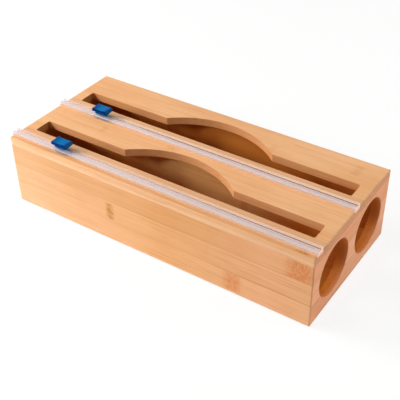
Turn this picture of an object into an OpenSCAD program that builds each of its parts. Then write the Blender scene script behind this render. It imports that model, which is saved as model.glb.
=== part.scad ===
// Bamboo dispenser for two rolls of kitchen film. The rolls go in through round holes in the right end, the
// film comes out through two slots in the top, and a blue cutter slides along a clear rail before each slot.
// X runs along the box, Y to its rear and Z up. The origin is under the middle of the box, on the table.

/* [Box] */
// Length of the box, left end to right end
body_l = 340; // [320:1:400]
// Depth of the box, front to rear
body_w = 151; // [148:1:180]
// Height of the box without its feet
body_h = 77.4; // [74:0.2:100]
// Thickness of the top panel
top_t = 8; // [7:0.5:10]
// Thickness of the front, rear and end panels
wall_t = 10; // [8:0.5:11]
// Thickness of the divider between the two roll bays
divider_t = 8; // [7:0.5:10]
// Thickness of the bottom panel
bottom_t = 7; // [5:0.5:8]
// Width of the rebate in the walls that the bottom panel sits in
rebate = 5; // [3:0.5:6]
// Radius of the rounded outer edges
edge_r = 1.6; // [0.6:0.1:2.4]
// Depth of the fine V groove along the seam under the top panel
seam_depth = 0.4; // [0.2:0.1:0.8]
// Height of the anti-slip feet
feet_h = 1.2; // [0.8:0.1:3]
// Diameter of the anti-slip feet
feet_d = 12; // [8:0.5:20]
// Distance from the sides of the box to the middle of a foot
feet_inset = 24; // [18:1:40]

/* [Roll holes and film slots] */
// Wall left between each round roll hole and the nearest sides of its bay
hole_rim = 3.25; // [2:0.25:8]
// Width of the small chamfer around each hole
hole_chamfer = 0.6; // [0.2:0.1:1]
// Distance from each end of the box to the end of a slot
slot_inset = 13; // [11.5:0.5:20]
// Width of a slot
slot_w = 19.8; // [12:0.2:21]
// Distance from the middle of a roll bay forward to the front edge of its slot
slot_lead = 16.8; // [15:0.2:17.4]
// Radius of the slot's corners
slot_r = 2; // [1:0.25:4]
// Width of the thumb scoop on the rear edge of a slot
scoop_w = 124; // [80:1:150]
// Depth of the thumb scoop
scoop_depth = 23.4; // [12:0.2:24]
// Distance of the scoop from the middle of the slot, to the right
scoop_shift = 3; // [-20:1:20]

/* [Rails] */
// Distance from the front edge of a slot forward to the middle of its rail
rail_setback = 14.6; // [13.5:0.1:15]
// Width of a rail
rail_w = 10.4; // [9.4:0.2:11]
// Height of a rail above the top panel
rail_rise = 3.5; // [3:0.1:4.5]
// Depth of the groove that the rail sits in
groove_depth = 1.5; // [1.2:0.1:2]
// Distance from each end of the box to the end of a rail
rail_inset = 0.5; // [0:0.1:3]
// Width of the narrow groove along the middle of a rail
rail_slot = 2.4; // [2:0.1:3]
// Thickness of a rail's floor, side walls and lips
rail_t = 1.2; // [1:0.1:1.4]
// Radius of a rail's rounded long edges
rail_r = 0.6; // [0.2:0.1:1]
// Thickness of the tape under a rail
tape_t = 0.4; // [0.2:0.1:0.6]
// Length of the plug that closes each end of a rail
stop_l = 6; // [3:0.5:10]

/* [Cutters] */
// Distance from the left end of the box to the middle of the front cutter
front_cutter_at = 61.9; // [30:0.1:280]
// Distance from the left end of the box to the middle of the rear cutter
rear_cutter_at = 54.6; // [30:0.1:280]
// Length of the grip at its foot
grip_l = 20; // [17:0.5:24]
// Width of the grip at its foot
grip_w = 11.5; // [10.5:0.5:14]
// Height of the grip above its neck
grip_h = 3.2; // [2.6:0.1:4.5]
// How far each end of the grip leans in over its height
grip_end_lean = 2; // [1:0.1:2.6]
// How far each side of the grip leans in over its height
grip_side_lean = 0.8; // [0.2:0.1:1.2]
// Radius of the grip's corners, seen from above
grip_r = 2.4; // [0.5:0.1:3]
// Depth of the finger hollow in the grip's top
dish_depth = 0.6; // [0.4:0.1:1.4]
// Length of the flat left at each end of the finger hollow
dish_flat = 1; // [0.8:0.1:2]
// Height of the gap that the film passes through, between rail and neck
film_gap = 1.5; // [1:0.1:2.5]
// Height of the neck under the grip
neck_h = 3.3; // [2.5:0.1:4.5]
// Length of the neck
neck_l = 14; // [12:0.5:15]
// Width of the neck
neck_w = 8; // [5:0.5:9]
// Radius of the neck's corners, seen from above
neck_r = 1.4; // [0.5:0.1:2]
// Length of the shoe that runs inside the rail
shoe_l = 18; // [14:0.5:24]
// Length of the stem that joins shoe and grip
stem_l = 6; // [4:0.5:8]
// How far the stem reaches past the neck into the grip
stem_reach = 0.6; // [0.4:0.1:0.8]
// Thickness of the blade
blade_t = 0.4; // [0.2:0.1:0.5]
// How far the blade reaches down between the rail's lips
blade_dip = 0.7; // [0.3:0.1:0.9]
// How far the blade reaches up into the neck
blade_hold = 1.6; // [0.8:0.1:2]
// How far each end of the blade stands out from the stem at its foot
blade_foot = 0.5; // [0.2:0.1:1]

/* [Joinery] */
// Diameter of the dowels
dowel_d = 5; // [4:0.5:5.5]
// Number of dowels between the top panel and each long wall
top_dowel_count = 4; // [2:1:6]
// Distance from the ends of the box to the outermost of them
top_dowel_inset = 30; // [20:1:60]
// Length of the dowels under the top panel
top_dowel_l = 16; // [12:1:24]
// How far those dowels reach into the top panel
top_dowel_reach = 4.5; // [3:0.5:5]
// Length of the dowels in the divider
divider_dowel_l = 18; // [12:1:24]
// How far those dowels reach into the end panels
divider_dowel_reach = 6; // [4:0.5:7]
// Distance between the two dowels at each end of the divider
divider_dowel_pitch = 31; // [20:1:40]

/* [Hidden] */
$fn = 64;
// Extra length of a cut beyond the face that it goes through
over = 1;
// Gap around a dowel and at its free end
dowel_gap = 0.1;
dowel_end_gap = 0.4;
// Gap around a glued panel or plug
glue_gap = 0.1;
// Gap beside the rail in its groove
groove_gap = 0.15;
// Running gap of the shoe in its rail
slide_gap = 0.2;
// Gap beside the blade and around the stem
blade_gap = 0.05;
// Wall left in the neck beyond each end of the blade
blade_cover = 0.5;

bamboo = [0.87, 0.66, 0.43];
dowel_wood = [0.80, 0.62, 0.40];
clear_plastic = [0.88, 0.90, 0.92, 0.5];
blue_plastic = [0.02, 0.32, 0.72];
white_tape = [0.93, 0.93, 0.91];
steel = [0.75, 0.76, 0.78];
grey_rubber = [0.35, 0.35, 0.36];

top_z = feet_h + body_h;
roof_z = top_z - top_t;
floor_z = feet_h + bottom_t;
bay_h = roof_z - floor_z;
inner_l = body_l - 2 * wall_t;
inner_w = body_w - 2 * wall_t;
bay_w = (inner_w - divider_t) / 2;
bay_pitch = bay_w + divider_t;
hole_d = min(bay_w, bay_h) - 2 * hole_rim;
slot_l = body_l - 2 * slot_inset;
slot_rear = slot_w - slot_lead;
scoop_r = (scoop_w * scoop_w / 4 + scoop_depth * scoop_depth) / (2 * scoop_depth);

groove_z = top_z - groove_depth;
rail_z = groove_z + tape_t;
rail_l = body_l - 2 * rail_inset;
rail_h = groove_depth + rail_rise - tape_t;
channel_w = rail_w - 2 * rail_t;
channel_h = rail_h - 2 * rail_t;
channel_z = rail_z + rail_t;

// The stem stands on the shoe and ends inside the grip
shoe_h = channel_h - slide_gap;
stem_w = rail_slot - 2 * slide_gap;
neck_z = top_z + rail_rise + film_gap;
stem_top_z = neck_z + neck_h + stem_reach;
grip_top_l = grip_l - 2 * grip_end_lean;
dish_l = grip_top_l - 2 * dish_flat;
dish_r = (dish_l * dish_l / 4 + dish_depth * dish_depth) / (2 * dish_depth);
// The blade stands in the stem from within the rail's lips up into the neck
blade_z = top_z + rail_rise - blade_dip;
blade_top_z = neck_z + blade_hold;
blade_l = neck_l - 2 * blade_cover;
blade_foot_l = stem_l + 2 * blade_foot;

// Side is -1 for the front bay, rail and cutter, and 1 for the rear ones
function bay_y(side) = side * bay_pitch / 2;
function rail_y(side) = bay_y(side) - slot_lead - rail_setback;
function cutter_x(side) = (side < 0 ? front_cutter_at : rear_cutter_at) - body_l / 2;

// Block that is centred in X and Y and stands on z = 0
module block(l, w, h) {
    translate([-l / 2, -w / 2, 0])
        cube([l, w, h]);
}

module rounded_rect(l, w, r) {
    square([l - 2 * r, w], center = true);
    square([l, w - 2 * r], center = true);
    for (x = [-1, 1], y = [-1, 1])
        translate([x * (l / 2 - r), y * (w / 2 - r)])
            circle(r = r);
}

// Turns a shape drawn flat so that it runs along X, with its first axis along Y and its second along Z
module along_x(length) {
    rotate([90, 0, 90])
        linear_extrude(height = length, center = true)
            children();
}

// Turns a shape drawn flat so that it runs along Y, with its first axis along X and its second along Z
module along_y(length) {
    rotate([90, 0, 0])
        linear_extrude(height = length, center = true)
            children();
}

// The whole box as one block with rounded outer edges
module outer_box() {
    translate([0, 0, feet_h + body_h / 2])
        intersection() {
            linear_extrude(height = body_h, center = true)
                rounded_rect(body_l, body_w, edge_r);
            along_y(body_w)
                rounded_rect(body_l, body_h, edge_r);
            along_x(body_l)
                rounded_rect(body_w, body_h, edge_r);
        }
}

// Bars that cut a fine V groove around the box at the seam under the top panel
module seam_groove() {
    side = seam_depth * sqrt(2);
    for (s = [-1, 1]) {
        translate([0, s * body_w / 2, roof_z])
            rotate([45, 0, 0])
                cube([body_l + over, side, side], center = true);
        translate([s * body_l / 2, 0, roof_z])
            rotate([0, 45, 0])
                cube([side, body_w + over, side], center = true);
    }
}

// One slot with its scoop, drawn around the middle of its roll bay
module film_opening() {
    translate([0, slot_rear - slot_w / 2])
        rounded_rect(slot_l, slot_w, slot_r);
    translate([scoop_shift, slot_rear])
        intersection() {
            translate([0, scoop_depth - scoop_r])
                circle(r = scoop_r);
            translate([-scoop_w, -slot_w / 2])
                square([2 * scoop_w, scoop_depth + slot_w]);
        }
}

// Upright dowels between the front and rear walls and the top panel; gap widens them and extra lengthens them
module top_dowel_set(gap, extra) {
    pitch = (body_l - 2 * top_dowel_inset) / (top_dowel_count - 1);
    for (s = [-1, 1], k = [0 : top_dowel_count - 1])
        translate([k * pitch + top_dowel_inset - body_l / 2, s * (body_w - wall_t) / 2,
                roof_z + top_dowel_reach - top_dowel_l])
            cylinder(d = dowel_d + 2 * gap, h = top_dowel_l + extra);
}

// Level dowels between the divider and the end panels; extra lengthens them towards the ends
module divider_dowel_set(gap, extra) {
    for (s = [-1, 1], k = [-1, 1])
        translate([s * (inner_l / 2 + divider_dowel_reach - divider_dowel_l), 0,
                floor_z + (bay_h + k * divider_dowel_pitch) / 2])
            rotate([0, s * 90, 0])
                cylinder(d = dowel_d + 2 * gap, h = divider_dowel_l + extra);
}

// Space that the bottom panel takes up, with its rebate in the walls
module bottom_seat() {
    translate([0, 0, feet_h - over])
        block(inner_l + 2 * rebate, inner_w + 2 * rebate, bottom_t + over);
}

// One wall cut from the box; its plan is given as a child
module wall() {
    difference() {
        intersection() {
            outer_box();
            translate([0, 0, feet_h])
                linear_extrude(height = body_h - top_t)
                    children();
        }
        bottom_seat();
        seam_groove();
        top_dowel_set(dowel_gap, dowel_end_gap);
        divider_dowel_set(dowel_gap, dowel_end_gap);
    }
}

// Plan of the front or rear wall, mitred at both ends
module long_wall_plan(side) {
    polygon([
        [-body_l / 2, side * body_w / 2],
        [body_l / 2, side * body_w / 2],
        [inner_l / 2, side * inner_w / 2],
        [-inner_l / 2, side * inner_w / 2]
    ]);
}

// Plan of the left or right wall, mitred at both ends
module end_wall_plan(side) {
    polygon([
        [side * body_l / 2, -body_w / 2],
        [side * body_l / 2, body_w / 2],
        [side * inner_l / 2, inner_w / 2],
        [side * inner_l / 2, -inner_w / 2]
    ]);
}

// Round hole through the right end, with a small chamfer on its outer rim
module roll_hole(side) {
    translate([body_l / 2, bay_y(side), floor_z + bay_h / 2])
        rotate([0, 90, 0]) {
            translate([0, 0, -wall_t - over])
                cylinder(d = hole_d, h = wall_t + 2 * over);
            translate([0, 0, -hole_chamfer])
                cylinder(d1 = hole_d, d2 = hole_d + 4 * hole_chamfer, h = 2 * hole_chamfer);
        }
}

module rail_section() {
    difference() {
        translate([0, rail_h / 2])
            rounded_rect(rail_w, rail_h, rail_r);
        translate([-channel_w / 2, rail_t])
            square([channel_w, channel_h]);
        translate([-rail_slot / 2, rail_t])
            square([rail_slot, rail_h]);
    }
}

module rail(side) {
    translate([0, rail_y(side), rail_z])
        along_x(rail_l)
            rail_section();
}

module rail_tape(side) {
    translate([0, rail_y(side), groove_z])
        block(rail_l - 2 * glue_gap, rail_w - 2 * rail_r, tape_t);
}

module rail_end_stops(side) {
    for (s = [-1, 1])
        translate([s * (rail_l - stop_l) / 2, rail_y(side), channel_z])
            block(stop_l, channel_w - 2 * glue_gap, channel_h - glue_gap);
}

// Pad of the grip: leaning ends and sides, rounded corners and a finger hollow in its top
module grip_pad() {
    difference() {
        intersection() {
            linear_extrude(height = grip_h)
                rounded_rect(grip_l, grip_w, grip_r);
            along_y(grip_w)
                polygon([
                    [-grip_l / 2, 0],
                    [grip_l / 2, 0],
                    [grip_top_l / 2, grip_h],
                    [-grip_top_l / 2, grip_h]
                ]);
            along_x(grip_l)
                polygon([
                    [-grip_w / 2, 0],
                    [grip_w / 2, 0],
                    [grip_w / 2 - grip_side_lean, grip_h],
                    [grip_side_lean - grip_w / 2, grip_h]
                ]);
        }
        translate([0, 0, grip_h - dish_depth + dish_r])
            rotate([90, 0, 0])
                cylinder(r = dish_r, h = grip_w + over, center = true);
    }
}

module cutter_grip(side) {
    translate([cutter_x(side), rail_y(side), neck_z])
        difference() {
            union() {
                linear_extrude(height = neck_h)
                    rounded_rect(neck_l, neck_w, neck_r);
                translate([0, 0, neck_h])
                    grip_pad();
            }
            translate([0, 0, -over])
                block(stem_l + 2 * blade_gap, stem_w + 2 * blade_gap, stem_top_z - neck_z + over);
            translate([0, 0, -over])
                block(blade_l + 2 * blade_gap, blade_t + 2 * blade_gap, blade_hold + over);
        }
}

module cutter_shoe(side) {
    translate([cutter_x(side), rail_y(side), 0])
        difference() {
            union() {
                translate([0, 0, channel_z])
                    block(shoe_l, channel_w - 2 * slide_gap, shoe_h);
                translate([0, 0, channel_z])
                    block(stem_l, stem_w, stem_top_z - channel_z);
            }
            translate([0, 0, blade_z])
                block(stem_l + over, blade_t + 2 * blade_gap, stem_top_z - blade_z + over);
        }
}

module cutter_blade(side) {
    translate([cutter_x(side), rail_y(side), 0])
        along_y(blade_t)
            polygon([
                [-blade_foot_l / 2, blade_z],
                [blade_foot_l / 2, blade_z],
                [blade_l / 2, neck_z],
                [blade_l / 2, blade_top_z],
                [-blade_l / 2, blade_top_z],
                [-blade_l / 2, neck_z]
            ]);
}

module top_panel() {
    color(bamboo)
        difference() {
            intersection() {
                outer_box();
                translate([0, 0, roof_z])
                    block(body_l, body_w, top_t);
            }
            for (side = [-1, 1]) {
                translate([0, bay_y(side), roof_z - over])
                    linear_extrude(height = top_t + 2 * over)
                        film_opening();
                translate([0, rail_y(side), groove_z])
                    block(body_l + over, rail_w + 2 * groove_gap, groove_depth + over);
            }
            seam_groove();
            top_dowel_set(dowel_gap, dowel_end_gap);
        }
}

module front_panel() {
    color(bamboo)
        wall()
            long_wall_plan(-1);
}

module rear_panel() {
    color(bamboo)
        wall()
            long_wall_plan(1);
}

module left_end_panel() {
    color(bamboo)
        wall()
            end_wall_plan(-1);
}

module right_end_panel() {
    color(bamboo)
        difference() {
            wall()
                end_wall_plan(1);
            roll_hole(-1);
            roll_hole(1);
        }
}

module bottom_panel() {
    color(bamboo)
        translate([0, 0, feet_h])
            block(inner_l + 2 * (rebate - glue_gap), inner_w + 2 * (rebate - glue_gap), bottom_t);
}

module centre_divider() {
    color(bamboo)
        difference() {
            translate([0, 0, floor_z])
                block(inner_l, divider_t, bay_h);
            divider_dowel_set(dowel_gap, dowel_end_gap);
        }
}

module top_dowels() {
    color(dowel_wood)
        top_dowel_set(0, 0);
}

module divider_dowels() {
    color(dowel_wood)
        divider_dowel_set(0, 0);
}

module anti_slip_feet() {
    color(grey_rubber)
        for (x = [-1, 1], y = [-1, 1])
            translate([x * (body_l / 2 - feet_inset), y * (body_w / 2 - feet_inset), 0])
                cylinder(d = feet_d, h = feet_h);
}

module front_rail() {
    color(clear_plastic)
        rail(-1);
}

module rear_rail() {
    color(clear_plastic)
        rail(1);
}

module front_rail_tape() {
    color(white_tape)
        rail_tape(-1);
}

module rear_rail_tape() {
    color(white_tape)
        rail_tape(1);
}

module front_rail_end_stops() {
    color(clear_plastic)
        rail_end_stops(-1);
}

module rear_rail_end_stops() {
    color(clear_plastic)
        rail_end_stops(1);
}

module front_cutter_grip() {
    color(blue_plastic)
        cutter_grip(-1);
}

module rear_cutter_grip() {
    color(blue_plastic)
        cutter_grip(1);
}

module front_cutter_shoe() {
    color(blue_plastic)
        cutter_shoe(-1);
}

module rear_cutter_shoe() {
    color(blue_plastic)
        cutter_shoe(1);
}

module front_cutter_blade() {
    color(steel)
        cutter_blade(-1);
}

module rear_cutter_blade() {
    color(steel)
        cutter_blade(1);
}

top_panel();
front_panel();
rear_panel();
left_end_panel();
right_end_panel();
bottom_panel();
centre_divider();
top_dowels();
divider_dowels();
anti_slip_feet();
front_rail();
rear_rail();
front_rail_tape();
rear_rail_tape();
front_rail_end_stops();
rear_rail_end_stops();
front_cutter_grip();
rear_cutter_grip();
front_cutter_shoe();
rear_cutter_shoe();
front_cutter_blade();
rear_cutter_blade();
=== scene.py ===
"""Looks of the bamboo film dispenser: materials, softened edges, floor, light and camera.

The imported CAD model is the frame. Lengths are in metres, in the CAD frame: the origin is on the
table under the middle of the box, +X points to the end with the roll holes, +Y to the back, +Z up.
"""
import math

import bpy
from mathutils import Matrix, Vector

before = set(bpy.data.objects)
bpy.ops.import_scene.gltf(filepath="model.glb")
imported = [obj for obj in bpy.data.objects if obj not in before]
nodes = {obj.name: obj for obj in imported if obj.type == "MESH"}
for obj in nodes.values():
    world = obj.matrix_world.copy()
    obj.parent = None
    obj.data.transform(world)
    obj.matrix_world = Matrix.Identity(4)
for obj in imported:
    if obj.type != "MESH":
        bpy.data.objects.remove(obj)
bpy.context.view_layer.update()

# Camera, solved from the outline of the box, its slots and its roll holes in the photograph
CAMERA_AZIMUTH = 34.62
CAMERA_ELEVATION = 36.99
CAMERA_ROLL = -1.09
CAMERA_DISTANCE = 0.7769
CAMERA_TARGET = (0.01927, -0.01892, 0.04135)
CAMERA_LENS = 72.71

# Light: strength of the sky, and each lamp's place, the point that it looks at, its size and its power
SKY_STRENGTH = 0.06
LAMPS = {
    "key": ((-1.29, -0.38, 1.10), (0, 0, 0.05), 0.7, 21.6),
    "low": ((-0.78, -0.62, 0.40), (-0.10, 0, 0.04), 0.5, 4.3),
    "front": ((-0.75, -0.95, 0.70), (-0.05, 0, 0.04), 0.22, 3.95),
    "side": ((0.90, 0.35, 0.60), (0.1, 0, 0.04), 0.6, 4.65),
    "corner": ((0.70, -0.75, 0.42), (0.15, -0.05, 0.04), 0.5, 0.5),
    "back": ((0.20, 1.30, 0.55), (0, 0, 0.05), 0.8, 2.4),
}

# Floor: half its width, its colour and the colour of its paper fibres
FLOOR_REACH = 6.0
FLOOR_COLOUR = (0.86, 0.85, 0.84, 1)
FLOOR_FIBRE = (0.80, 0.79, 0.78, 1)

# Bamboo: width of a strip, where the strips of the top and of the walls start, and colours, linear
STRIP_WIDTH = 0.0223
TOP_STRIPS = -0.0835
WALL_STRIPS = 0.0033
BAMBOO_LIGHT = (0.94, 0.525, 0.260, 1)
BAMBOO_DEEP = (0.79, 0.375, 0.145, 1)
# Painted highlight: the pale colour of a band on the outer faces by the seam of the top panel and walls
EDGE_HIGHLIGHT = (1.00, 0.66, 0.40, 1)
BAMBOO_FIBRE = (0.58, 0.235, 0.072, 1)
BAMBOO_KNOT = (0.60, 0.190, 0.040, 1)
ORANGE_KNOT = (0.70, 0.175, 0.018, 1)
OLIVE_KNOT = (0.60, 0.225, 0.030, 1)
BAMBOO_END = (0.69, 0.246, 0.093, 1)
BAMBOO_PORE = (0.44, 0.150, 0.050, 1)
# Painted shade: shares of that colour which are left on the inner faces of the box and on the walls and
# ends of the slots
BAMBOO_INSIDE_SHADE = (0.80, 0.58, 0.16, 1)
REAR_INSIDE_SHADE = (0.72, 0.48, 0.16, 1)
DIVIDER_INSIDE_SHADE = (0.83, 0.84, 0.68, 1)
SLOT_WALL_SHADE = (0.90, 0.81, 0.72, 1)
SLOT_END_SHADE = (0.56, 0.54, 0.30, 1)
# Shares on the narrow strip of the top before the front rail, darker, and on the strips behind both rails,
# the painted shadow of the rails
BRIM = (0.82, 0.78, 0.72, 1)
RAIL_SHADOW_SHARE = (0.88, 0.91, 0.99, 1)

# Rail plastic: wood and tape below the floor, milk of the floor, two tones of the walls and of the front
# lips, and at the left and at the right the rear lips, with a painted highlight that is stronger at the
# right, and the line in the slot, a painted glint at the left and painted shade at the right
RAIL_BED = (0.62, 0.430, 0.250, 1)
RAIL_MILK = (0.72, 0.57, 0.62, 1)
RAIL_WALLS = ((0.86, 0.80, 0.84, 1), (0.80, 0.75, 0.79, 1))
FRONT_LIPS = ((0.766, 0.651, 0.647, 1), (0.737, 0.627, 0.623, 1))
REAR_LIPS_AND_HIGHLIGHT = ((0.85, 0.79, 0.80, 1), (1.0, 0.91, 0.90, 1))
SLOT_LINE_GLINT_AND_SHADE = ((0.64, 0.59, 0.60, 1), (0.22, 0.165, 0.16, 1))

# Blue plastic: two tones, a painted highlight in the finger hollow and on the rim of the pad, painted shade
# on the sides of the pad, and what is seen through the rail
BLUE = ((0.0005, 0.088, 0.31, 1), (0.0005, 0.112, 0.37, 1))
BLUE_HOLLOW_HIGHLIGHT = (0.001, 0.160, 0.40, 1)
BLUE_RIM_HIGHLIGHT = (0.004, 0.19, 0.47, 1)
BLUE_SIDE_SHADE = (0.0005, 0.028, 0.14, 1)
BLUE_IN_RAIL = (0.24, 0.28, 0.36, 1)

# Two tones each of the tape, the blades and the feet
TAPE = ((0.86, 0.85, 0.86, 1), (0.78, 0.77, 0.79, 1))
STEEL = ((0.62, 0.63, 0.65, 1), (0.48, 0.49, 0.51, 1))
RUBBER = ((0.10, 0.10, 0.105, 1), (0.15, 0.15, 0.155, 1))

# The space inside the box, with the walls of the roll holes, which gets painted shade
INSIDE_LOW = (-0.1695, -0.0657, 0.0060)
INSIDE_HIGH = (0.1695, 0.0657, 0.0708)
# The painted shade on the walls of the roll holes weakens from this X to the outside
HOLE_START = 0.1640

# Slots with their scoops: the line midway between both, their distance from it, and their reach in Y and X
SLOT_MIDDLE = 0.00475
SLOT_FOLD = 0.03475
SLOT_REACH = 0.0225
SLOT_END_X = 0.160

# Strips between each rail and its slot, which carry the rails' painted shadow, as far apart as the slots:
# the line midway and their reach in Y
RAIL_SHADOW_MIDDLE = -0.02143
RAIL_SHADOW_REACH = 0.0047

# The strip before the front rail ends between these Y, and the outer faces, which carry the painted edge
# highlight, start between these Y
BRIM_END = (-0.0716, -0.0710)
OUTER_Y = (0.0740, 0.0752)

# Rails: side, middle in Y, and where along X the line in the slot, painted shade, starts to darken and is
# darkest
RAILS = (("front", -0.06615, -0.075, 0.165), ("rear", 0.00335, -0.165, -0.005))
# Where the parts of a rail's section begin and end to change: Y from its middle, then the tips in X
FRONT_LIP_Y = (-0.0016, -0.0008)
MILK_Y = (-0.0030, 0.0002)
SLOT_FACE_Y = (0.00122, 0.00130)
CHANNEL_Y = (0.0040, 0.0042)
RAIL_WALL_Y = (0.0044, 0.0048)
RAIL_TIP_X = (0.1690, 0.1694)

# Heights: underside of the top panel, its upper face, floor of the rails' channel, lower part of their
# lips, top of the rails, underside of the cutters' pads, sides of the finger hollow, and a fine step
ROOF_Z = 0.0706
TOP_Z = 0.0786
CHANNEL_Z = 0.0787
LIP_Z = (0.0811, 0.0814)
RAIL_Z = 0.0821
PAD_Z = 0.0869
HOLLOW_Z = (0.0895, 0.0899)
STEP_Z = 0.0002

# Widths of the eased edges on the top panel, the other panels and the grips
TOP_EASE = 0.0003
PANEL_EASE = 0.0001
GRIP_EASE = 0.0008


class Graph:
    """A material's node tree, with short calls for the nodes that are used here."""

    def __init__(self, name):
        self.material = bpy.data.materials.new(name)
        self.material.use_nodes = True
        self.tree = self.material.node_tree
        self.tree.nodes.clear()

    def add(self, kind, inputs=(), **settings):
        """A new node. Inputs are sockets to link or plain values, by name or number."""
        node = self.tree.nodes.new("ShaderNode" + kind)
        for key, value in settings.items():
            setattr(node, key, value)
        for key, value in dict(inputs).items():
            if isinstance(value, bpy.types.NodeSocket):
                self.tree.links.new(value, node.inputs[key])
            else:
                node.inputs[key].default_value = value
        return node

    def math(self, operation, *values):
        """The result of a Math node."""
        return self.add("Math", enumerate(values), operation=operation).outputs[0]

    def fade(self, value, start, end, low=0.0, high=1.0):
        """A smooth step from low to high as value goes from start to end."""
        inputs = {"Value": value, "From Min": start, "From Max": end, "To Min": low, "To Max": high}
        return self.add("MapRange", inputs, interpolation_type="SMOOTHSTEP").outputs[0]

    def mix(self, factor, first, second, mode="MIX"):
        """Two colours mixed."""
        inputs = {0: factor, 6: first, 7: second}
        return self.add("Mix", inputs, data_type="RGBA", blend_type=mode).outputs[2]

    def noise(self, vector, scale, detail=2.0, roughness=0.5):
        """A noise value from 0 to 1."""
        inputs = {"Vector": vector, "Scale": scale, "Detail": detail, "Roughness": roughness}
        return self.add("TexNoise", inputs).outputs[0]

    def steps(self, value, levels):
        """Equal steps: value from 0 to 1 picks one of the levels."""
        ramp = self.add("ValToRGB", {0: value})
        ramp.color_ramp.interpolation = "CONSTANT"
        stops = ramp.color_ramp.elements
        while len(stops) < len(levels):
            stops.new(0.5)
        for number, level in enumerate(levels):
            stops[number].position = number / len(levels)
            stops[number].color = (level, level, level, 1)
        return ramp.outputs[0]

    def stretch(self, along, across, through, squeeze):
        """A place whose first axis is drawn out, so that a noise of it makes streaks."""
        inputs = {0: self.math("MULTIPLY", along, squeeze), 1: across, 2: through}
        return self.add("CombineXYZ", inputs).outputs[0]

    def bump(self, height, strength, distance):
        """A normal from a height."""
        inputs = {"Height": height, "Strength": strength, "Distance": distance}
        return self.add("Bump", inputs).outputs[0]

    def close(self, **inputs):
        """Ends the tree in one Principled shader and gives the material."""
        named = {key.replace("_", " "): value for key, value in inputs.items()}
        shader = self.add("BsdfPrincipled", named)
        output = self.add("OutputMaterial")
        self.tree.links.new(shader.outputs[0], output.inputs[0])
        return self.material


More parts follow.
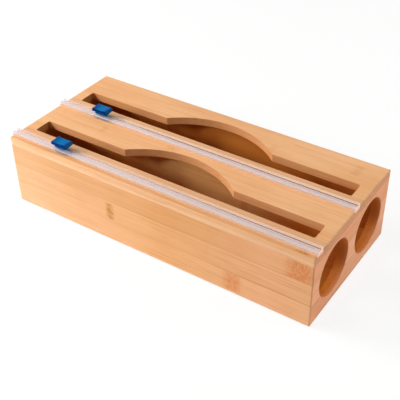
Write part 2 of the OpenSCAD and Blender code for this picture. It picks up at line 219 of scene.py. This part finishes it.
def bamboo(name, along, across, start, tones, seed, knots=(), washes=(), lines=(), tint=None,
           inside_shade=BAMBOO_INSIDE_SHADE, edge_highlight=False, slots=False):
    """Bamboo strips glued edge to edge: fibres along one axis, strips side by side across it.

    Tones run from 0, light, to 1, deep, one for each strip. Each knot is its place along and across
    the fibres, its half length, its half width, its strength and perhaps its own colour. A wash is a
    place along the fibres, its reach and the share of the colour that it leaves. A line is a dark seam:
    its place across, and where it starts and ends along the fibres."""
    g = Graph(name)
    coords = g.add("TexCoord")
    place = coords.outputs["Object"]
    axes = dict(zip("XYZ", g.add("SeparateXYZ", {0: place}).outputs))
    facing = dict(zip("XYZ", g.add("SeparateXYZ", {0: coords.outputs["Normal"]}).outputs))
    through = ({"X", "Y", "Z"} - {along, across}).pop()
    a, c, t = axes[along], axes[across], axes[through]

    # Which strip a point is on, and the strip's own tone
    count = g.math("DIVIDE", g.math("SUBTRACT", c, start), STRIP_WIDTH)
    strip = g.math("FLOOR", count)
    tone = g.steps(g.math("DIVIDE", count, float(len(tones))), tones)
    shifted = g.math("MULTIPLY_ADD", strip, 0.37, g.math("ADD", a, seed * 0.11))
    from_seam = g.math("PINGPONG", count, 0.5)

    # Fibres at three scales, long hair lines and slow clouds of colour
    fine = g.noise(g.stretch(shifted, c, t, 0.022), 2400, 2, 0.6)
    medium = g.noise(g.stretch(shifted, c, t, 0.025), 520, 3, 0.6)
    broad = g.noise(g.stretch(shifted, c, t, 0.06), 90, 2, 0.5)
    hair = g.noise(g.stretch(shifted, c, t, 0.011), 700, 1, 0.5)
    cloud = g.noise(place, 9 + seed, 2, 0.5)

    depth = g.math("MULTIPLY_ADD", tone, 0.50, g.math("MULTIPLY", broad, 0.45))
    depth = g.math("MULTIPLY_ADD", cloud, 0.50, depth)
    colour = g.mix(g.fade(depth, 0.33, 1.05), BAMBOO_LIGHT, BAMBOO_DEEP)
    if tint:
        colour = g.mix(1.0, colour, tint, "MULTIPLY")
    for spot, reach, share in washes:
        near = g.fade(g.math("ABSOLUTE", g.math("SUBTRACT", a, spot)), 0, reach, 1, 0)
        colour = g.mix(near, colour, g.mix(1.0, colour, share, "MULTIPLY"))
    # Painted highlight: a pale band on the outer faces, strongest at the seam under the top panel, fading
    # upwards
    if edge_highlight:
        outer = g.fade(g.math("ABSOLUTE", axes["Y"]), *OUTER_Y)
        low = g.fade(axes["Z"], ROOF_Z, TOP_Z - 0.001, 0.58, 0.05)
        begin = g.fade(axes["Z"], ROOF_Z - 0.0012, ROOF_Z - 0.0004)
        pale = g.math("MULTIPLY", g.math("MULTIPLY", outer, low), begin)
        colour = g.mix(pale, colour, EDGE_HIGHLIGHT)
    colour = g.mix(g.fade(medium, 0.50, 0.78, 0, 0.42), colour, BAMBOO_FIBRE)
    colour = g.mix(g.fade(fine, 0.54, 0.78, 0, 0.40), colour, BAMBOO_FIBRE)
    colour = g.mix(g.fade(hair, 0.64, 0.71, 0, 0.36), colour, BAMBOO_FIBRE)

    # Glue seams show only in places
    seam = g.math("MULTIPLY", g.fade(from_seam, 0.0, 0.016, 1, 0), g.fade(broad, 0.40, 0.65, 0.05, 0.65))
    seam = g.math("MULTIPLY", seam, g.fade(g.math("ABSOLUTE", facing[across]), 0.3, 0.7, 1, 0))
    for place_across, begin, finish in lines:
        off = g.math("ABSOLUTE", g.math("SUBTRACT", c, place_across))
        span = g.math("MULTIPLY", g.fade(a, begin, begin + 0.02), g.fade(a, finish - 0.02, finish, 1, 0))
        line = g.math("MULTIPLY", g.fade(off, 0.0002, 0.0006, 0.75, 0), span)
        seam = g.math("MAXIMUM", seam, line)
    colour = g.mix(seam, colour, BAMBOO_FIBRE)

    # Knots: a mottled patch across one strip, feathered along its fibres
    if knots:
        waver = g.math("MULTIPLY", g.math("SUBTRACT", medium, 0.5), 0.012)
        mottle = g.fade(g.noise(g.stretch(c, a, t, 0.5), 460, 2, 0.6), 0.36, 0.62, 0.45, 1.0)
        for spot, side, reach, spread, strength, *own in knots:
            away = g.math("ABSOLUTE", g.math("ADD", g.math("SUBTRACT", a, spot), waver))
            aside = g.math("ABSOLUTE", g.math("SUBTRACT", c, side))
            patch = g.fade(away, 0.25 * reach, reach, strength, 0)
            patch = g.math("MULTIPLY", g.fade(aside, 0.8 * spread, spread, 1, 0), patch)
            patch = g.math("MULTIPLY", patch, mottle)
            colour = g.mix(patch, colour, own[0] if own else BAMBOO_KNOT)

    # Cut ends of the fibres: darker, with small pores
    end = g.fade(g.math("ABSOLUTE", facing[along]), 0.75, 0.95)
    pores = g.noise(g.stretch(a, c, t, 0.2), 1500, 1)
    end_colour = g.mix(g.fade(pores, 0.5, 0.7, 0, 0.6), BAMBOO_END, BAMBOO_PORE)
    colour = g.mix(g.math("MULTIPLY", end, 0.75), colour, end_colour)

    # Painted shade on the walls and ends of the slots, and deeper inside the box, a darker share on the
    # strip before the front rail, and the painted shadow of the rails on the strips behind them
    if slots:
        brim = g.math("MULTIPLY", g.fade(axes["Y"], *BRIM_END, 1, 0), g.fade(facing["Z"], 0.4, 0.8))
        colour = g.mix(brim, colour, g.mix(1.0, colour, BRIM, "MULTIPLY"))
        # Painted shadow of the rails on the strips behind them
        fold = g.math("ABSOLUTE", g.math("SUBTRACT", axes["Y"], RAIL_SHADOW_MIDDLE))
        rail_shadow = g.math("COMPARE", fold, SLOT_FOLD, RAIL_SHADOW_REACH)
        colour = g.mix(rail_shadow, colour, g.mix(1.0, colour, RAIL_SHADOW_SHARE, "MULTIPLY"))
        # Painted shade on the walls of the slots, darker on their ends
        slot_wall_shade = g.fade(g.math("ABSOLUTE", facing["Z"]), 0.4, 0.7, 1, 0)
        slot_wall_shade = g.math("MULTIPLY", slot_wall_shade, g.math("COMPARE", axes["X"], 0.0, SLOT_END_X))
        fold = g.math("ABSOLUTE", g.math("SUBTRACT", axes["Y"], SLOT_MIDDLE))
        slot_wall_shade = g.math("MULTIPLY", slot_wall_shade, g.math("COMPARE", fold, SLOT_FOLD, SLOT_REACH))
        share = g.mix(end, SLOT_WALL_SHADE, SLOT_END_SHADE)
        colour = g.mix(slot_wall_shade, colour, g.mix(1.0, colour, share, "MULTIPLY"))
    # Painted shade inside the box, weaker towards the outside on the walls of the roll holes
    shade_inside = 1.0
    for axis, low, high in zip("XYZ", INSIDE_LOW, INSIDE_HIGH):
        within = g.math("COMPARE", axes[axis], (low + high) / 2, (high - low) / 2)
        shade_inside = g.math("MULTIPLY", within, shade_inside)
    shade_inside = g.math("MULTIPLY", shade_inside, g.fade(axes["X"], HOLE_START, INSIDE_HIGH[0], 1, 0.45))
    colour = g.mix(shade_inside, colour, g.mix(1.0, colour, inside_shade, "MULTIPLY"))

    height = g.math("MULTIPLY_ADD", fine, 0.5, medium)
    height = g.math("SUBTRACT", height, g.math("MULTIPLY", seam, 1.5))
    return g.close(
        Base_Color=colour,
        Roughness=g.fade(medium, 0.3, 0.75, 0.42, 0.62),
        Specular_IOR_Level=0.35,
        Normal=g.bump(height, 0.25, 0.0002),
    )


def clear_plastic(name, centre, clear_end, dark_end):
    """Clear rail with a milky floor, frosted lips and outer walls, a painted highlight on the rear lips, and
    a line in the slot, a painted glint that darkens into painted shade between two places along the rail."""
    g = Graph(name)
    place = g.add("TexCoord").outputs["Object"]
    x, y, z = g.add("SeparateXYZ", {0: place}).outputs
    across = g.math("SUBTRACT", y, centre)
    aside = g.math("ABSOLUTE", across)
    drawn = g.noise(g.stretch(x, y, z, 0.006), 700, 2)
    cloud = g.noise(place, 45, 2)
    front = g.fade(across, *FRONT_LIP_Y, 1, 0)
    wall = g.fade(aside, *RAIL_WALL_Y)
    top = g.fade(z, *LIP_Z)
    slot = g.math("MULTIPLY", g.fade(aside, *SLOT_FACE_Y, 1, 0), top)
    right = g.fade(x, clear_end, dark_end)

    # The floor of the channel shows the wood below it, milky to the rear, and is solid like the faces of
    # the slot. The lips, outer walls and ends are frosted, the rest is clear
    level = g.math("COMPARE", z, CHANNEL_Z, STEP_Z)
    floor = g.math("MULTIPLY", level, g.fade(aside, *CHANNEL_Y, 1, 0))
    milk = g.fade(across, *MILK_Y, 0.10, 0.58)
    frost = g.mix(front, g.fade(right, 0, 1, 0.17, 0.26), g.fade(cloud, 0.3, 0.7, 0.60, 0.68))
    lip = g.math("MULTIPLY", top, frost)
    skin = g.math("MULTIPLY", wall, g.fade(z, TOP_Z, RAIL_Z, 0.06, 0.24))
    tip = g.fade(g.math("ABSOLUTE", x), *RAIL_TIP_X, 0, 0.55)
    alpha = g.math("MAXIMUM", g.math("MAXIMUM", floor, lip), g.math("MAXIMUM", skin, tip))
    alpha = g.math("MAXIMUM", alpha, slot)
    streak = g.fade(drawn, 0.35, 0.7)
    colour = g.mix(top, g.mix(streak, *RAIL_WALLS), g.mix(streak, *FRONT_LIPS))
    # Painted highlight on the rear lips, stronger towards the right
    colour = g.mix(front, g.mix(right, *REAR_LIPS_AND_HIGHLIGHT), colour)
    colour = g.mix(floor, colour, g.mix(milk, RAIL_BED, RAIL_MILK))
    # Painted glint at the left and painted shade at the right on the faces of the slot
    colour = g.mix(slot, colour, g.mix(right, *SLOT_LINE_GLINT_AND_SHADE))
    return g.close(
        Base_Color=colour,
        Roughness=g.fade(drawn, 0.3, 0.7, 0.20, 0.30),
        Specular_IOR_Level=0.25,
        Alpha=alpha,
        Normal=g.bump(drawn, 0.05, 0.0001),
    )


def blue_plastic():
    """Glossy moulded plastic with a fine skin, painted highlights on the top of the pad and painted shade on
    its sides.
    """
    g = Graph("blue_plastic_moulded")
    coords = g.add("TexCoord")
    place = coords.outputs["Object"]
    height = g.add("SeparateXYZ", {0: place}).outputs[2]
    upward = g.add("SeparateXYZ", {0: coords.outputs["Normal"]}).outputs[2]
    skin = g.noise(place, 900, 2)
    flow = g.noise(place, 120, 2)
    colour = g.mix(g.fade(flow, 0.3, 0.7), *BLUE)
    pad = g.fade(height, PAD_Z - STEP_Z, PAD_Z + STEP_Z)
    # Painted highlight in the finger hollow of the pad
    hollow_highlight = g.math("MULTIPLY", g.fade(height, *HOLLOW_Z, 1, 0), g.fade(upward, 0.95, 0.98))
    colour = g.mix(g.math("MULTIPLY", hollow_highlight, pad), colour, BLUE_HOLLOW_HIGHLIGHT)
    # Painted highlight along the rounded edge of the pad's top
    rim_highlight = g.math("MULTIPLY", g.fade(upward, 0.93, 0.97, 1, 0), pad)
    colour = g.mix(rim_highlight, colour, BLUE_RIM_HIGHLIGHT)
    # Painted shade on the sides of the pad
    side_shade = g.math("MULTIPLY", g.fade(upward, 0.30, 0.75, 1, 0), pad)
    colour = g.mix(side_shade, colour, BLUE_SIDE_SHADE)
    in_rail = g.fade(height, RAIL_Z, RAIL_Z + 2 * STEP_Z, 1, 0)
    colour = g.mix(in_rail, colour, BLUE_IN_RAIL)
    return g.close(
        Base_Color=colour,
        Roughness=g.fade(skin, 0.3, 0.7, 0.20, 0.28),
        Specular_IOR_Level=0.03,
        Normal=g.bump(skin, 0.10, 0.0002),
    )


def white_tape():
    """Paper-backed foam tape under the rails."""
    g = Graph("white_tape_foam")
    place = g.add("TexCoord").outputs["Object"]
    cells = g.noise(place, 1400, 3)
    colour = g.mix(g.fade(cells, 0.3, 0.7), *TAPE)
    return g.close(
        Base_Color=colour,
        Roughness=g.fade(cells, 0.3, 0.7, 0.7, 0.9),
        Alpha=g.fade(cells, 0.3, 0.7, 0.08, 0.16),
        Normal=g.bump(cells, 0.2, 0.0002),
    )


def steel():
    """Brushed thin blade."""
    g = Graph("steel_brushed")
    x, y, z = g.add("SeparateXYZ", {0: g.add("TexCoord").outputs["Object"]}).outputs
    brush = g.noise(g.stretch(x, y, z, 0.03), 3000, 2)
    colour = g.mix(g.fade(brush, 0.3, 0.7), *STEEL)
    return g.close(Base_Color=colour, Metallic=1.0, Roughness=g.fade(brush, 0.3, 0.7, 0.22, 0.38))


def grey_rubber():
    """Matt rubber foot."""
    g = Graph("grey_rubber_matt")
    place = g.add("TexCoord").outputs["Object"]
    grain = g.noise(place, 1200, 3)
    return g.close(
        Base_Color=g.mix(g.fade(grain, 0.3, 0.7), *RUBBER),
        Roughness=g.fade(grain, 0.3, 0.7, 0.7, 0.9),
        Normal=g.bump(grain, 0.3, 0.0002),
    )


def dress(name, material):
    """Gives a CAD node its material."""
    for slot in nodes[name].material_slots:
        slot.material = material


def soften(name, width, segments=2):
    """Eases a CAD node's sharp edges by a small bevel."""
    piece = nodes[name]
    piece.modifiers.new("weld", "WELD").merge_threshold = 1e-6
    flat = piece.modifiers.new("flat faces", "DECIMATE")
    flat.decimate_type = "DISSOLVE"
    flat.angle_limit = math.radians(0.5)
    edge = piece.modifiers.new("eased edges", "BEVEL")
    edge.width = width
    edge.segments = segments
    edge.limit_method = "ANGLE"
    edge.angle_limit = math.radians(35)
    piece.modifiers.new("normals", "WEIGHTED_NORMAL").keep_sharp = False


def make_camera():
    """The photograph's view."""
    turn, lift, roll = (math.radians(v) for v in (CAMERA_AZIMUTH, CAMERA_ELEVATION, CAMERA_ROLL))
    back = Vector((math.sin(turn) * math.cos(lift), -math.cos(turn) * math.cos(lift), math.sin(lift)))
    right = Vector((math.cos(turn), math.sin(turn), 0))
    up = back.cross(right)
    side = right * math.cos(roll) + up * math.sin(roll)
    top = up * math.cos(roll) - right * math.sin(roll)
    camera = bpy.data.objects.new("camera", bpy.data.cameras.new("camera"))
    camera.data.lens = CAMERA_LENS
    camera.data.clip_start = 0.01
    camera.matrix_world = Matrix.Translation(Vector(CAMERA_TARGET) + back * CAMERA_DISTANCE) @ Matrix(
        (side, top, back)).transposed().to_4x4()
    bpy.context.collection.objects.link(camera)
    bpy.context.scene.camera = camera


def make_lamp(name, place, target, size, power):
    """A soft square lamp that looks at a point."""
    lamp = bpy.data.lights.new(name, "AREA")
    lamp.size = size
    lamp.energy = power
    holder = bpy.data.objects.new(name, lamp)
    holder.location = place
    holder.rotation_euler = (Vector(place) - Vector(target)).to_track_quat("Z", "Y").to_euler()
    bpy.context.collection.objects.link(holder)


def seen_ray(tree):
    """1 for rays from the camera and from what mirrors or passes its view."""
    path = tree.nodes.new("ShaderNodeLightPath")
    seen = path.outputs["Is Camera Ray"]
    for name in ("Is Glossy Ray", "Is Transmission Ray"):
        most = tree.nodes.new("ShaderNodeMath")
        most.operation = "MAXIMUM"
        tree.links.new(seen, most.inputs[0])
        tree.links.new(path.outputs[name], most.inputs[1])
        seen = most.outputs[0]
    return seen


def make_world():
    """White where it is seen, a soft even light elsewhere."""
    world = bpy.data.worlds.new("studio")
    world.use_nodes = True
    tree = world.node_tree
    sky = tree.nodes["Background"]
    level = tree.nodes.new("ShaderNodeMapRange")
    tree.links.new(seen_ray(tree), level.inputs["Value"])
    level.inputs["To Min"].default_value = SKY_STRENGTH
    level.inputs["To Max"].default_value = 1.0
    sky.inputs["Color"].default_value = (1, 1, 1, 1)
    tree.links.new(level.outputs[0], sky.inputs["Strength"])
    bpy.context.scene.world = world


def make_floor():
    """A pale floor that keeps a soft shadow near the object and is white far off."""
    mesh = bpy.data.meshes.new("floor")
    r = FLOOR_REACH
    mesh.from_pydata([(-r, -r, 0), (r, -r, 0), (r, r, 0), (-r, r, 0)], [], [(0, 1, 2, 3)])
    floor = bpy.data.objects.new("floor", mesh)
    bpy.context.collection.objects.link(floor)
    g = Graph("floor_paper")
    place = g.add("TexCoord").outputs["Object"]
    fibres = g.noise(place, 300, 3)
    shade = g.mix(g.fade(fibres, 0.3, 0.7, 0, 0.05), FLOOR_COLOUR, FLOOR_FIBRE)
    paper = g.add("BsdfDiffuse", {"Color": shade})
    glow = g.add("Emission", {"Color": (1, 1, 1, 1), "Strength": 1.06})
    away = g.add("VectorMath", {0: place}, operation="LENGTH").outputs["Value"]
    share = g.math("MULTIPLY", seen_ray(g.tree), g.fade(away, 0.5, 1.5, 0.80, 1.0))
    both = g.add("MixShader", {0: share, 1: paper.outputs[0], 2: glow.outputs[0]})
    g.add("OutputMaterial", {0: both.outputs[0]})
    mesh.materials.append(g.material)


make_camera()
make_world()
make_floor()
for name, (place, target, size, power) in LAMPS.items():
    make_lamp(name, place, target, size, power)

HALF_STRIP = STRIP_WIDTH / 2
LOW_STRIP = WALL_STRIPS + HALF_STRIP
MID_STRIP = LOW_STRIP + STRIP_WIDTH
HIGH_STRIP = MID_STRIP + STRIP_WIDTH
panels = {
    "top_panel": dict(
        along="X", across="Y", start=TOP_STRIPS, tones=(0.35, 0.5, 0.25, 0.3, 0.4, 0.5, 0.40, 0.5),
        seed=3, edge_highlight=True, slots=True,
        knots=[(-0.100, -0.014, 0.005, 0.006, 0.30), (-0.022, -0.006, 0.009, 0.004, 0.30),
               (0.145, 0.056, 0.006, 0.009, 0.30), (0.157, -0.0732, 0.009, 0.0014, 0.80),
               (0.060, 0.044, 0.005, HALF_STRIP, 0.18)]),
    "front_panel": dict(
        along="X", across="Z", start=WALL_STRIPS, tones=(0.15, 0.30, 0.60), seed=8, edge_highlight=True,
        washes=[(-0.150, 0.090, (1.0, 1.08, 1.16, 1)),
                (0.015, 0.080, (1.0, 0.96, 0.84, 1)), (0.130, 0.070, (1.03, 0.99, 1.03, 1))],
        lines=[(0.0256, 0.060, 0.190)],
        knots=[(0.157, HIGH_STRIP, 0.018, HALF_STRIP, 0.72, ORANGE_KNOT),
               (-0.0470, MID_STRIP, 0.0060, 0.9 * HALF_STRIP, 1.0, OLIVE_KNOT),
               (0.091, LOW_STRIP, 0.013, HALF_STRIP, 0.62, ORANGE_KNOT)]),
    "rear_panel": dict(
        along="X", across="Z", start=WALL_STRIPS, tones=(0.6, 0.35, 0.5), seed=14, inside_shade=REAR_INSIDE_SHADE,
        knots=[(-0.090, HIGH_STRIP, 0.010, HALF_STRIP, 0.5), (0.102, MID_STRIP, 0.0045, HALF_STRIP, 0.6),
               (-0.020, LOW_STRIP, 0.012, HALF_STRIP, 0.45)]),
    # Deep tones: painted shade on the end that faces the key lamp
    "left_end_panel": dict(
        along="Y", across="Z", start=WALL_STRIPS, tones=(0.75, 1.0, 0.85), seed=21,
        knots=[(0.03, MID_STRIP, 0.005, HALF_STRIP, 0.5), (-0.052, HIGH_STRIP, 0.010, HALF_STRIP, 0.4)]),
    "right_end_panel": dict(
        along="Y", across="Z", start=WALL_STRIPS, tones=(0.6, 0.0, 0.6), seed=27,
        tint=(1.10, 0.90, 0.89, 1)),
    "bottom_panel": dict(
        along="X", across="Y", start=TOP_STRIPS, tones=(0.5, 0.7, 0.4, 0.6, 0.5, 0.8, 0.5, 0.6), seed=33,
        knots=[(-0.06, -0.05, 0.008, HALF_STRIP, 0.5), (0.08, -0.005, 0.005, HALF_STRIP, 0.5),
               (-0.12, 0.039, 0.010, HALF_STRIP, 0.5)]),
    "centre_divider": dict(
        along="X", across="Z", start=WALL_STRIPS, tones=(0.5, 0.6, 0.5), seed=39, inside_shade=DIVIDER_INSIDE_SHADE,
        # Washes: painted shade on the divider to the left and right of the patch that light reaches through
        # the scoop
        washes=[(0.130, 0.065, (1.05, 0.75, 0.26, 1)), (-0.100, 0.080, (1.0, 0.78, 0.38, 1))],
        knots=[(0.06, MID_STRIP, 0.006, HALF_STRIP, 0.5), (-0.1, HIGH_STRIP, 0.008, HALF_STRIP, 0.5)]),
}
for name, recipe in panels.items():
    dress(name, bamboo("bamboo_" + name, **recipe))
    soften(name, TOP_EASE if name == "top_panel" else PANEL_EASE)

blue = blue_plastic()
metal = steel()
tape = white_tape()
for side, centre, clear_end, dark_end in RAILS:
    rail = clear_plastic("clear_plastic_" + side, centre, clear_end, dark_end)
    dress(side + "_rail", rail)
    dress(side + "_rail_end_stops", rail)
    dress(side + "_rail_tape", tape)
    for clear in ("_rail", "_rail_end_stops", "_rail_tape"):
        nodes[side + clear].visible_shadow = False
    dress(side + "_cutter_grip", blue)
    dress(side + "_cutter_shoe", blue)
    dress(side + "_cutter_blade", metal)
    soften(side + "_cutter_grip", GRIP_EASE, 4)
dress("anti_slip_feet", grey_rubber())
dowel = bamboo("dowel_wood_turned", along="Z", across="X", start=TOP_STRIPS, tones=(0.2,), seed=45)
dress("top_dowels", dowel)
dress("divider_dowels", dowel)

bpy.context.scene.view_settings.view_transform = "Standard"
